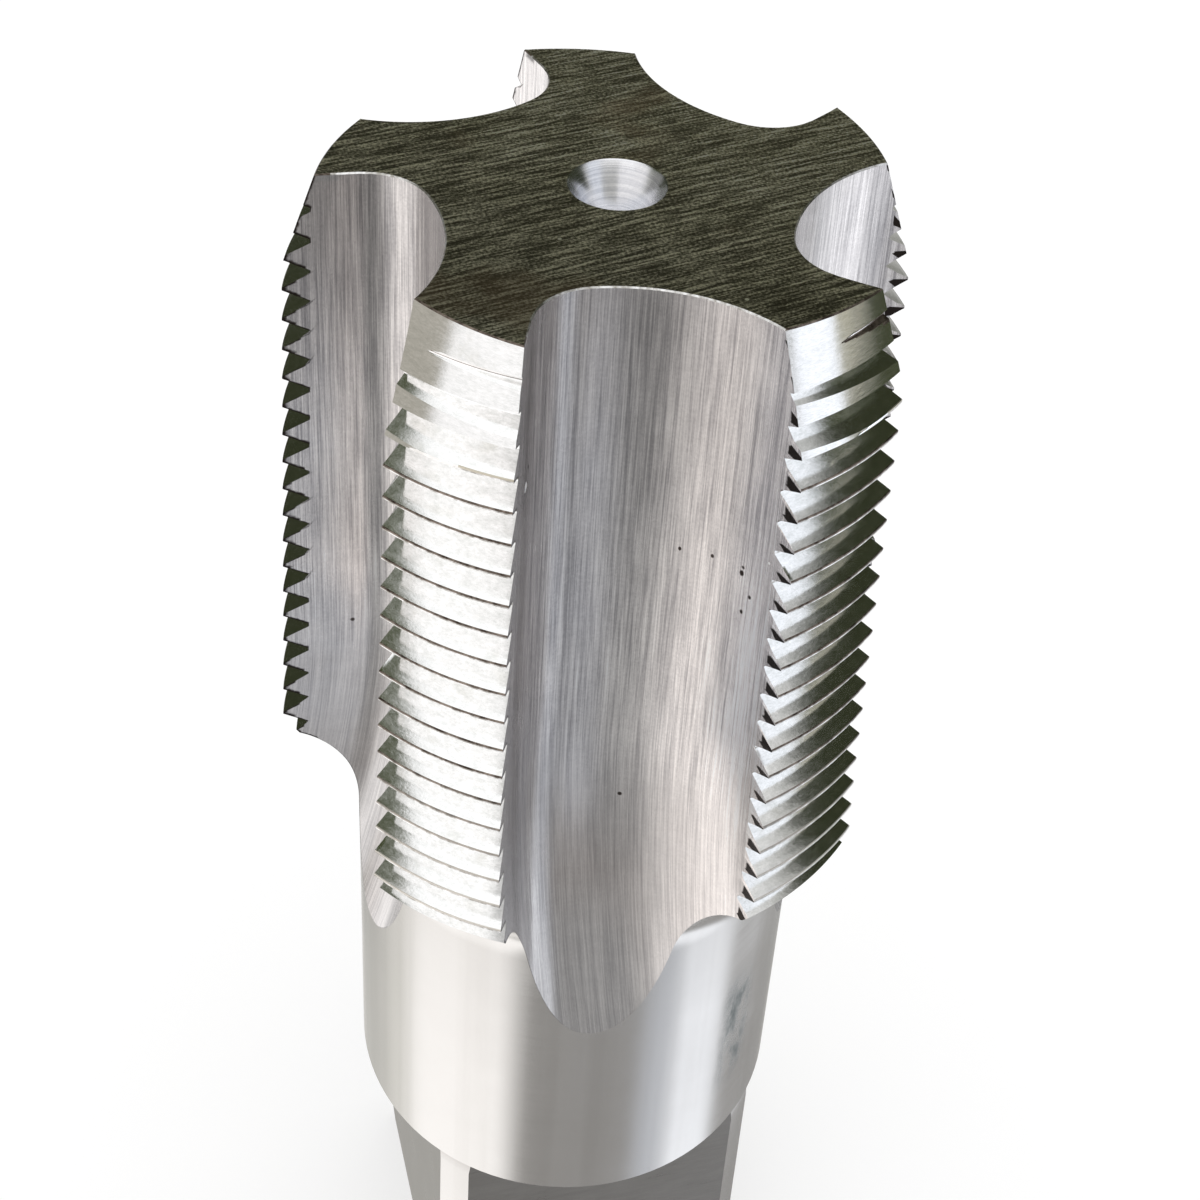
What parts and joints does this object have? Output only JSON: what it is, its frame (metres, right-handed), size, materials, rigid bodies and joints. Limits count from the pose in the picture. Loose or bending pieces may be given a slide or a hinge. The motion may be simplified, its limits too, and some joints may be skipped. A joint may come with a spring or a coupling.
{
  "type": "pipe tap",
  "caption": "Straight-fluted hand tap with a square drive that cuts a tapered right-hand pipe thread inside a bore.",
  "frame": {"origin": "on the tap's axis, in the plane of the square end's face", "axes": "+Z along the axis towards the cutting end; one flat of the drive square faces +X"},
  "size_m": [0.0438, 0.0432, 0.105],
  "materials": {
    "ground_steel": "bare ground tool steel: bright lands and shank, lengthwise grinding marks in the flutes, a dark sawn and ground end face"
  },
  "bodies": {
    "root": {"tap": "ground_steel"}
  },
  "joints": []
}
